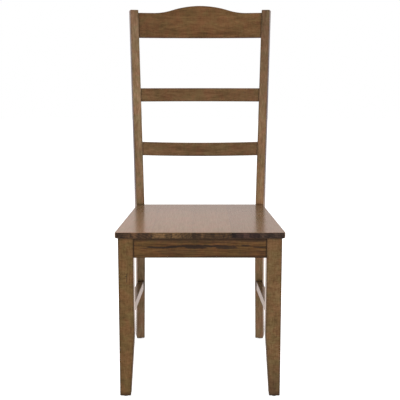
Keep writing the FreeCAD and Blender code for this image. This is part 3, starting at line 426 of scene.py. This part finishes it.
def drying_crack(finish, place, colour):
    """A short dark crack with a pin knot, high on the left front leg's front face."""
    def within(value, fade):
        return finish.math("SUBTRACT", 1.0, finish.ramp(value, *fade))

    def distance(value, centre):
        return finish.math("ABSOLUTE", finish.math("SUBTRACT", value, centre))

    x, y, z = place
    front = finish.math("LESS_THAN", y, cad_low.y + CRACK_DEPTH_FROM_FRONT)
    along = finish.math("MULTIPLY", z, WOBBLES_PER_METRE)
    wobble = finish.noise(finish.combine(0.0, 0.0, along), 1.0, 2.0)
    line = finish.math("MULTIPLY_ADD", wobble, CRACK_WOBBLE, CRACK_X - CRACK_WOBBLE / 2)
    thin = within(distance(x, line), CRACK_HALF_WIDTH)
    tall = finish.math("MULTIPLY", finish.ramp(z, *CRACK_FOOT), within(z, CRACK_HEAD))
    knot = finish.math("MULTIPLY", within(distance(x, KNOT_X), KNOT_HALF_WIDTH),
                       within(distance(z, KNOT_Z), KNOT_HALF_HEIGHT))
    mask = finish.math("MAXIMUM", finish.math("MULTIPLY", thin, tall), knot)
    mask = finish.math("MULTIPLY", finish.math("MULTIPLY", mask, front), CRACK_STRENGTH)
    return finish.mix(mask, colour, CRACK_COLOUR)


# Places along a piece, and its brightness there: the wood's own tone, and on some pieces
# painted light and shade too.
# On the posts the stops are partly painted light and shade. Below the seat the left post is
# darkened and the right one lightened, and up the backrest the stops follow both the wood's tone
# and the light.
LEFT_POST_TONE_AND_LIGHT = ((0.05, 0.92), (0.40, 0.90), (0.46, 1.11), (0.62, 1.08), (0.80, 1.22),
                  (1.05, 0.89))
RIGHT_POST_TONE_AND_LIGHT = ((0.05, 1.12), (0.40, 1.64), (0.47, 1.56), (0.62, 1.22), (0.84, 0.95),
                   (1.05, 0.70))
CREST_TONE = ((-0.17, 0.82), (-0.03, 1.0), (0.1, 1.02))
LEFT_LEG_TONE = ((0.004, 0.50), (0.020, 1.0), (0.44, 1.0))
RIGHT_LEG_TONE = ((0.004, 0.40), (0.022, 0.66), (0.13, 1.0), (0.44, 1.0))
# At each end of the front apron the last few millimetres are painted shadow lines where it meets
# the legs. Between them the stops are the wood's tone.
APRON_TONE_AND_SHADE = ((-0.1757, 0.30), (-0.1722, 1.16), (-0.120, 1.16), (-0.080, 0.94), (-0.010, 0.94),
              (0.050, 1.10), (0.1722, 1.06), (0.1757, 0.30))
STRETCHER_TONE = ((-0.24, 1.1), (0.05, 1.0), (0.16, 0.40))
SEAT_TONE = ((-0.278, 1.12), (-0.05, 1.0), (0.10, 0.70))

# Tone of each board's face and of its end grain, the heart of its rings, and its patches.
SEAT_BOARDS = {
    "far_left": ((0.168, 0.096, 0.049), (0.060, 0.029, 0.012), (-0.19, 0.36),
                 ((-0.225, -0.19, 0.75), (-0.172, -0.150, 1.5))),
    "left": ((0.165, 0.094, 0.047), (0.086, 0.046, 0.018), (-0.09, 0.52),
             ((-0.122, -0.076, 1.5), (-0.066, -0.040, 1.5), (-0.040, -0.020, 0.95))),
    "centre": ((0.152, 0.086, 0.041), (0.061, 0.031, 0.012), (0.05, 0.62),
               ((-0.012, 0.004, 0.6), (0.008, 0.022, 1.4), (0.036, 0.080, 0.95))),
    "right": ((0.130, 0.074, 0.037), (0.030, 0.014, 0.010), (0.12, 0.36),
              ((0.092, 0.106, 0.5), (0.118, 0.140, 1.7))),
    "far_right": ((0.124, 0.071, 0.035), (0.030, 0.0165, 0.0105), (0.22, 0.52),
                  ((0.165, 0.185, 1.4), (0.200, 0.222, 1.3))),
}

# Stain tones of the pieces that share one.
HIDDEN_APRON = (0.10, 0.045, 0.012)
STRETCHER = (0.11, 0.060, 0.025)
BARE_BLOCK = (0.42, 0.28, 0.15)
BARE_DOWEL = (0.53, 0.37, 0.21)


def use(node, material):
    """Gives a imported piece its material."""
    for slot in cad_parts[node].material_slots:
        slot.material = material


def dress_wood():
    """Gives each wooden piece its stain tone, the axis of its grain, its seed and its figure."""
    post = {"layers": POST_FIGURE, "joint": 0.65, "joint_reach": 0.008}
    use("left_back_post", wood("left_post_wood", (0.205, 0.125, 0.066), "Z", 3, **post,
                               extras=(toned_and_shaded_along("Z", LEFT_POST_TONE_AND_LIGHT),)))
    use("right_back_post", wood("right_post_wood", (0.188, 0.111, 0.055), "Z", 8, **post,
                                extras=(toned_and_shaded_along("Z", RIGHT_POST_TONE_AND_LIGHT),)))
    rail = {"joint": 0.85, "joint_reach": 0.012}
    use("crest_rail", wood("crest_wood", (0.126, 0.062, 0.021), "X", 2, **rail,
                           extras=(toned_and_shaded_along("X", CREST_TONE),)))
    use("upper_slat", wood("upper_slat_wood", (0.131, 0.068, 0.026), "X", 6, **rail))
    use("lower_slat", wood("lower_slat_wood", (0.139, 0.075, 0.031), "X", 9, **rail))
    leg = {"layers": LEG_FIGURE, "edge": 0.85}
    use("left_front_leg", wood("left_leg_wood", (0.138, 0.074, 0.024), "Z", 11, **leg,
                               extras=(drying_crack, toned_and_shaded_along("Z", LEFT_LEG_TONE))))
    use("right_front_leg", wood("right_leg_wood", (0.153, 0.085, 0.032), "Z", 15, **leg,
                                extras=(toned_and_shaded_along("Z", RIGHT_LEG_TONE),)))
    use("front_apron", wood("front_apron_wood", (0.100, 0.0465, 0.0128), "X", 17, APRON_FIGURE,
                            joint=0.9, joint_reach=0.012,
                            extras=(streaks_and_seat_shadow, toned_and_shaded_along("X", APRON_TONE_AND_SHADE))))
    use("rear_apron", wood("rear_apron_wood", HIDDEN_APRON, "X", 20))
    for number, node in enumerate(("left_apron", "right_apron")):
        use(node, wood(f"{node}_wood", HIDDEN_APRON, "Y", 27 + 3 * number))
    for number, node in enumerate(("left_stretcher", "right_stretcher")):
        use(node, wood(f"{node}_wood", STRETCHER, "Y", 31 + 3 * number,
                       extras=(toned_and_shaded_along("Y", STRETCHER_TONE),)))
    # The seat boards' joint shade reaches 24 mm, far enough to paint the posts' shadow on the
    # boards in front of them.
    for number, (place, (tone, end_tone, heart, patches)) in enumerate(SEAT_BOARDS.items()):
        use(f"seat_board_{place}",
            wood(f"{place}_seat_wood", tone, "Y", 41 + 3 * number, SEAT_FIGURE, edge=0.15,
                 joint=1.0, joint_reach=0.024, coat_ior=1.5, coat_roughness=0.2,
                 pore_depth=0.04,
                 extras=(toned_and_shaded_along("Y", SEAT_TONE), end_grain(end_tone, heart, patches))))
    for number, node in enumerate(("front_left_block", "front_right_block",
                                   "rear_left_block", "rear_right_block")):
        use(node, wood(f"{node}_wood", BARE_BLOCK, "X", 61 + number, edge=0.15, coat=0.0))
    for node in ("front_apron_dowels", "rear_apron_dowels", "side_apron_dowels"):
        use(node, wood(f"{node}_wood", BARE_DOWEL, "X", 71, edge=0, joint=0, coat=0.0))


# The screws under the seat, each turned as bands of rings round its axis. A screw's head stands
# above zero height and its shank reaches into the wood along plus Z. Wings are the arms of the
# cross recess.

SCREW_SIZES = {"Length": 0.032, "Head Height": 0.0026, "Head Radius": 0.0039,
               "Thread Radius": 0.00198, "Core Radius": 0.00135, "Pitch": 0.0018,
               "Tip": 0.006, "Neck": 0.005, "Recess Depth": 0.0016, "Wing": 0.0019,
               "Wing Width": 0.0010}
ROUND = 32
THREAD_RINGS = 150
UNDERSIDE_RINGS = 2
DOME_RINGS = 8
RECESS_RINGS = 4
SOCKET_RINGS = 2

# Shares of a size: the neck of the thread's radius, where the neck starts to blend into the
# thread, the stretch of a pitch that the thread's flank takes up, how much narrower the recess
# is at its bottom, and how deep its bottom's cone is.
NECK_SHARE = 0.86
NECK_BLEND_START = 0.8
FLANK = (0.35, 0.9)
RECESS_TAPER = 0.45
CONE_SHARE = 0.2

# Powers that make the point blunt, the head's shoulder round and its top flat.
TIP_POWER = 0.8
SHOULDER_POWER = 0.75
CROWN_POWER = 0.8

# The least sine that the recess's outline is divided by, and how near to each other two points
# are when they are welded, in a turned screw and in a packed one.
LEAST_SINE = 0.01
WELD_REACH = 0.000002
PACKED_WELD_REACH = 0.00001


class ScrewTree(Finish):
    """The Geometry Nodes tree of a cross-recessed pan head wood screw at each given point."""

    def __init__(self, name):
        self.tree = bpy.data.node_groups.new(name, "GeometryNodeTree")
        self.sockets = {}
        self.declare("Places", "INPUT", "NodeSocketGeometry")
        for size in SCREW_SIZES:
            self.declare(size, "INPUT", "NodeSocketFloat")
        self.declare("Metal", "INPUT", "NodeSocketMaterial")
        self.declare("Screws", "OUTPUT", "NodeSocketGeometry")
        self.given = self.add("NodeGroupInput").outputs
        self.output = self.add("NodeGroupOutput")

    def declare(self, name, way, kind):
        self.sockets[name] = self.tree.interface.new_socket(name, in_out=way, socket_type=kind)

    def between(self, value, low, high, out_low, out_high):
        """Maps a value in a straight line, held at both ends."""
        return self.add("ShaderNodeMapRange",
                        {"Value": value, "From Min": low, "From Max": high,
                         "To Min": out_low, "To Max": out_high}).outputs[0]

    def strip(self, rings, profile):
        """A band of rings round the axis, whose radius and height come from its angle and run."""
        grid = self.add("GeometryNodeMeshGrid", {"Size X": 1.0, "Size Y": 1.0,
                                                 "Vertices X": ROUND + 1, "Vertices Y": rings})
        spot = self.add("GeometryNodeInputPosition").outputs[0]
        x, y, _ = self.add("ShaderNodeSeparateXYZ", {0: spot}).outputs[:3]
        angle = self.math("MULTIPLY", self.math("ADD", x, 0.5), 2 * math.pi)
        radius, height = profile(angle, self.math("ADD", y, 0.5))
        place = self.combine(self.math("MULTIPLY", radius, self.math("COSINE", angle)),
                             self.math("MULTIPLY", radius, self.math("SINE", angle)), height)
        return self.add("GeometryNodeSetPosition",
                        {"Geometry": grid.outputs[0], "Position": place}).outputs[0]

    def thread(self, angle, run):
        """From the point up the cut thread to the plain neck under the head."""
        given = self.given
        depth = self.math("MULTIPLY", given["Length"], self.math("SUBTRACT", 1.0, run))
        turns = self.math("SUBTRACT", self.math("DIVIDE", depth, given["Pitch"]),
                          self.math("DIVIDE", angle, 2 * math.pi))
        wave = self.math("MULTIPLY_ADD", self.math("FRACT", turns), 2.0, -1.0)
        crest = self.between(self.math("ABSOLUTE", wave), *FLANK,
                             given["Core Radius"], given["Thread Radius"])
        neck = self.math("MULTIPLY", given["Thread Radius"], NECK_SHARE)
        inner = self.math("MULTIPLY", given["Neck"], NECK_BLEND_START)
        cut = self.ramp(depth, inner, given["Neck"])
        radius = self.math("MULTIPLY_ADD", self.math("SUBTRACT", crest, neck), cut, neck)
        left = self.math("SUBTRACT", given["Length"], depth)
        taper = self.math("POWER", self.between(left, 0.0, given["Tip"], 0.0, 1.0), TIP_POWER)
        return self.math("MULTIPLY", radius, taper), depth

    def underside(self, angle, run):
        """The flat ring from the neck out to the head's rim."""
        neck = self.math("MULTIPLY", self.given["Thread Radius"], NECK_SHARE)
        return self.between(run, 0.0, 1.0, neck, self.given["Head Radius"]), 0.0

    def cross(self, angle):
        """The outline of the cross recess, as a radius at each angle."""
        quarter = self.math("PINGPONG", angle, math.pi / 4)
        end = self.math("DIVIDE", self.given["Wing"], self.math("COSINE", quarter))
        half = self.math("DIVIDE", self.given["Wing Width"], 2.0)
        sine = self.math("MAXIMUM", self.math("SINE", quarter), LEAST_SINE)
        side = self.math("DIVIDE", half, sine)
        return self.math("MINIMUM", end, side)

    def dome(self, angle, run):
        """The pan head, from its rim over its shoulder to the edge of the recess."""
        turn = self.math("MULTIPLY", run, math.pi / 2)
        outward = self.math("POWER", self.math("MAXIMUM", self.math("COSINE", turn), 0.0),
                            SHOULDER_POWER)
        upward = self.math("POWER", self.math("MAXIMUM", self.math("SINE", turn), 0.0),
                           CROWN_POWER)
        edge = self.cross(angle)
        reach = self.math("SUBTRACT", self.given["Head Radius"], edge)
        top = self.math("MULTIPLY", self.given["Head Height"], -1.0)
        return (self.math("MULTIPLY_ADD", reach, outward, edge),
                self.math("MULTIPLY", upward, top))

    def recess(self, angle, run):
        """The walls of the recess, which narrow downwards."""
        top = self.math("MULTIPLY", self.given["Head Height"], -1.0)
        share = self.math("MULTIPLY_ADD", run, -RECESS_TAPER, 1.0)
        return (self.math("MULTIPLY", self.cross(angle), share),
                self.math("MULTIPLY_ADD", run, self.given["Recess Depth"], top))

    def socket_floor(self, angle, run):
        """The shallow cone at the bottom of the recess."""
        floor = self.math("SUBTRACT", self.given["Recess Depth"], self.given["Head Height"])
        rim = self.math("MULTIPLY", self.cross(angle), 1.0 - RECESS_TAPER)
        cone = self.math("MULTIPLY", self.given["Recess Depth"], CONE_SHARE)
        return (self.math("MULTIPLY", rim, self.math("SUBTRACT", 1.0, run)),
                self.math("MULTIPLY_ADD", run, cone, floor))

    def finish_tree(self):
        """Joins a screw's bands and sets a copy at each place, along the place's own aim."""
        joined = self.add("GeometryNodeJoinGeometry")
        for rings, profile in ((THREAD_RINGS, self.thread), (UNDERSIDE_RINGS, self.underside),
                               (DOME_RINGS, self.dome), (RECESS_RINGS, self.recess),
                               (SOCKET_RINGS, self.socket_floor)):
            self.feed(joined.inputs[0], self.strip(rings, profile))
        merged = self.add("GeometryNodeMergeByDistance",
                          {"Geometry": joined.outputs[0], "Distance": WELD_REACH})
        flipped = self.add("GeometryNodeFlipFaces", {"Mesh": merged.outputs[0]})
        aim = self.add("GeometryNodeInputNamedAttribute", {"Name": "aim"},
                       data_type="FLOAT_VECTOR").outputs[0]
        turned = self.add("FunctionNodeAlignRotationToVector", {"Vector": aim}, axis="Z")
        copies = self.add("GeometryNodeInstanceOnPoints",
                          {"Points": self.given["Places"], "Instance": flipped.outputs[0],
                           "Rotation": turned.outputs[0]})
        real = self.add("GeometryNodeRealizeInstances", {"Geometry": copies.outputs[0]})
        bare = self.add("GeometryNodeRemoveAttribute", {"Geometry": real.outputs[0], "Name": "aim"})
        dressed = self.add("GeometryNodeSetMaterial",
                           {"Geometry": bare.outputs[0], "Material": self.given["Metal"]})
        self.feed(self.output.inputs[0], dressed.outputs[0])


def screw_places(node):
    """Where each packed screw's head sits on the wood, and the way that the screw points."""
    shape = bmesh.new()
    shape.from_mesh(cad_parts[node].data)
    bmesh.ops.remove_doubles(shape, verts=shape.verts, dist=PACKED_WELD_REACH)
    places = []
    seen = set()
    for first in shape.verts:
        if first in seen:
            continue
        island = [first]
        seen.add(first)
        for vert in island:
            for edge in vert.link_edges:
                other = edge.other_vert(vert)
                if other not in seen:
                    seen.add(other)
                    island.append(other)
        lows = [min(vert.co[axis] for vert in island) for axis in range(3)]
        highs = [max(vert.co[axis] for vert in island) for axis in range(3)]
        axis = max(range(3), key=lambda number: highs[number] - lows[number])
        centre = Vector((low + high) / 2 for low, high in zip(lows, highs))
        aside = (axis + 1) % 3
        widest = max(island, key=lambda vert: abs(vert.co[aside] - centre[aside]))
        aim = Vector((0, 0, 0))
        aim[axis] = 1 if widest.co[axis] < centre[axis] else -1
        head_end = lows[axis] if aim[axis] > 0 else highs[axis]
        centre[axis] = head_end + aim[axis] * SCREW_SIZES["Head Height"]
        places.append((centre, aim))
    shape.free()
    return places


def make_screws(node, metal, tree):
    """Replaces packed screws by threaded ones in the same places."""
    places = screw_places(node)
    seeds = bpy.data.meshes.new(f"{node}_places")
    seeds.from_pydata([place for place, _ in places], [], [])
    aims = seeds.attributes.new("aim", "FLOAT_VECTOR", "POINT")
    for entry, (_, aim) in zip(aims.data, places):
        entry.vector = aim
    piece = bpy.data.objects.new(f"{node}_threaded", seeds)
    bpy.context.collection.objects.link(piece)
    modifier = piece.modifiers.new("turned_screws", "NODES")
    modifier.node_group = tree.tree
    for size, value in SCREW_SIZES.items():
        modifier[tree.sockets[size].identifier] = value
    modifier[tree.sockets["Metal"].identifier] = metal
    graph = bpy.context.evaluated_depsgraph_get()
    mesh = bpy.data.meshes.new_from_object(piece.evaluated_get(graph), depsgraph=graph)
    mesh.materials.pop(index=0)    # the places' own slot, which is empty
    piece.modifiers.remove(modifier)
    piece.data = mesh
    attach(piece, "root")
    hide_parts(node)


# The fittings' colours, the patches per metre of their noises, and how rough the noise makes them.
STEEL_DARK = (0.42, 0.41, 0.38, 1)
STEEL_PALE = (0.66, 0.65, 0.60, 1)
SPECKLES_PER_METRE = 900
STEEL_ROUGHNESS = (0.3, 0.7, 0.24, 0.42)
PLASTIC_DARK = (0.035, 0.028, 0.022, 1)
PLASTIC_PALE = (0.085, 0.070, 0.058, 1)
PITS_PER_METRE = 1400
SCUFFS_PER_METRE = 120
PIT_STRENGTH = 0.25
PIT_DEPTH = 0.0002
PLASTIC_ROUGHNESS = (0.3, 0.7, 0.4, 0.6)


def zinc_steel():
    steel = Finish("zinc_steel")
    place = steel.add("ShaderNodeTexCoord").outputs["Object"]
    speckle = steel.noise(place, SPECKLES_PER_METRE, 3.0)
    return steel.surface(Base_Color=steel.mix(speckle, STEEL_DARK, STEEL_PALE), Metallic=1.0,
                         Roughness=steel.ramp(speckle, *STEEL_ROUGHNESS))


def glide_plastic():
    plastic = Finish("glide_plastic")
    place = plastic.add("ShaderNodeTexCoord").outputs["Object"]
    pits = plastic.noise(place, PITS_PER_METRE, 2.0)
    scuffs = plastic.noise(place, SCUFFS_PER_METRE, 3.0)
    bump = plastic.add("ShaderNodeBump", {"Height": pits, "Strength": PIT_STRENGTH,
                                          "Distance": PIT_DEPTH})
    return plastic.surface(Base_Color=plastic.mix(scuffs, PLASTIC_DARK, PLASTIC_PALE),
                           Roughness=plastic.ramp(scuffs, *PLASTIC_ROUGHNESS),
                           Normal=bump.outputs[0])


def dress_fittings():
    steel = zinc_steel()
    use("glide_nails", steel)
    tree = ScrewTree("turned_screw")
    tree.finish_tree()
    for node in ("block_screws", "seat_screws"):
        make_screws(node, steel, tree)
    plastic = glide_plastic()
    for end in ("front", "rear"):
        for side in ("left", "right"):
            use(f"{end}_{side}_glide", plastic)


# The studio: a pale floor in a white room. Reflections see it warmer, dim at eye level, and dim
# before the chair.

FLOOR_HALF_WIDTH = 12.0
FLOOR_TONE = (0.82, 0.82, 0.82, 1)
FLOOR_GLOW = 0.75
FILL_STRENGTH = 0.52
WHITE = (1, 1, 1, 1)
ROOM_TINT = (1.0, 0.85, 0.78, 1)
EYE_LEVEL = (0.27, 0.26, 0.33, 1)
EYE_LEVEL_TOP = 0.17
DIM_FRONT = 0.38

# Along Y, where the floor's reflection turns from dim to bright, and where it takes on the dim
# tone of eye level. Then the direction's Y where the room's reflection turns from dim to bright.
FLOOR_BRIGHTENS = (0.1, 0.5)
FLOOR_DIMS = (1.6, 3.6)
ROOM_BRIGHTENS = (-0.3, 0.2)


def ray_kinds(finish):
    """1 for rays straight from the camera, and 1 for rays by way of a reflection or glass."""
    path = finish.add("ShaderNodeLightPath").outputs
    indirect = finish.math("MAXIMUM", path["Is Glossy Ray"], path["Is Transmission Ray"])
    return path["Is Camera Ray"], indirect


def blend(finish, factor, first, second):
    """Goes from one shader to another."""
    return finish.add("ShaderNodeMixShader", {0: factor, 1: first, 2: second}).outputs[0]


def add_floor():
    mesh = bpy.data.meshes.new("studio_floor")
    half = FLOOR_HALF_WIDTH
    mesh.from_pydata([(-half, -half, 0), (half, -half, 0), (half, half, 0), (-half, half, 0)],
                     [], [(0, 1, 2, 3)])
    floor = bpy.data.objects.new("studio_floor", mesh)
    bpy.context.collection.objects.link(floor)
    finish = Finish("pale_floor")
    direct, mirrored = ray_kinds(finish)
    matte = finish.add("ShaderNodeBsdfDiffuse", {"Color": FLOOR_TONE}).outputs[0]
    glow = finish.add("ShaderNodeEmission", {"Color": WHITE, "Strength": FLOOR_GLOW})
    bright = finish.add("ShaderNodeAddShader", {0: matte, 1: glow.outputs[0]}).outputs[0]
    _, depth, _ = finish.position()
    sweep = finish.mix(finish.ramp(depth, *FLOOR_DIMS), ROOM_TINT, EYE_LEVEL)
    strength = finish.ramp(depth, *FLOOR_BRIGHTENS, DIM_FRONT, 1.0)
    reflected = finish.add("ShaderNodeEmission", {"Color": sweep, "Strength": strength}).outputs[0]
    seen = blend(finish, direct, matte, bright)
    finish.feed(finish.output.inputs[0], blend(finish, mirrored, seen, reflected))
    mesh.materials.append(finish.material)


class WorldFinish(Finish):
    """The world's node tree, with the same short calls."""

    def __init__(self, name):
        self.world = bpy.data.worlds.new(name)
        self.world.use_nodes = True
        self.tree = self.world.node_tree
        self.tree.nodes.clear()
        self.output = self.add("ShaderNodeOutputWorld")


def add_world():
    """White to the camera; reflections see a room that is bright overhead and dim at eye level."""
    finish = WorldFinish("white_studio")
    direct, mirrored = ray_kinds(finish)
    direction = finish.add("ShaderNodeTexCoord").outputs["Generated"]
    _, depth, height = finish.add("ShaderNodeSeparateXYZ", {0: direction}).outputs[:3]
    room = finish.mix(finish.ramp(height, 0.0, EYE_LEVEL_TOP), EYE_LEVEL, ROOM_TINT)

    def background(colour, strength):
        return finish.add("ShaderNodeBackground",
                          {"Color": colour, "Strength": strength}).outputs[0]

    fill = background(WHITE, FILL_STRENGTH)
    white = background(WHITE, 1.0)
    reflected = background(room, finish.ramp(depth, *ROOM_BRIGHTENS, DIM_FRONT, 1.0))
    unseen = blend(finish, mirrored, fill, reflected)
    finish.feed(finish.output.inputs[0], blend(finish, direct, unseen, white))
    bpy.context.scene.world = finish.world


# Each softbox: its place, the point that it faces, its width, height and power in watts.
SOFTBOXES = {
    "left_softbox": ((-1.9, -2.9, 1.5), (0, 0, 0.5), 2.0, 1.8, 32),
    "right_softbox": ((2.1, -2.8, 1.4), (0, 0, 0.5), 2.0, 1.8, 38),
    "overhead_softbox": ((0, 0.2, 3.2), (0, 0, 0.4), 2.4, 2.4, 42),
}


def add_lamp(name, place, aim, width, height, watts):
    data = bpy.data.lights.new(name, "AREA")
    data.shape = "RECTANGLE"
    data.size = width
    data.size_y = height
    data.energy = watts
    lamp = bpy.data.objects.new(name, data)
    lamp.location = place
    lamp.rotation_euler = (Vector(aim) - Vector(place)).to_track_quat("-Z", "Y").to_euler()
    lamp.visible_camera = False
    lamp.visible_glossy = False
    bpy.context.collection.objects.link(lamp)


bpy.context.scene.view_settings.view_transform = "Standard"
add_camera()
dress_wood()
dress_fittings()
add_floor()
add_world()
for name, softbox in SOFTBOXES.items():
    add_lamp(name, *softbox)
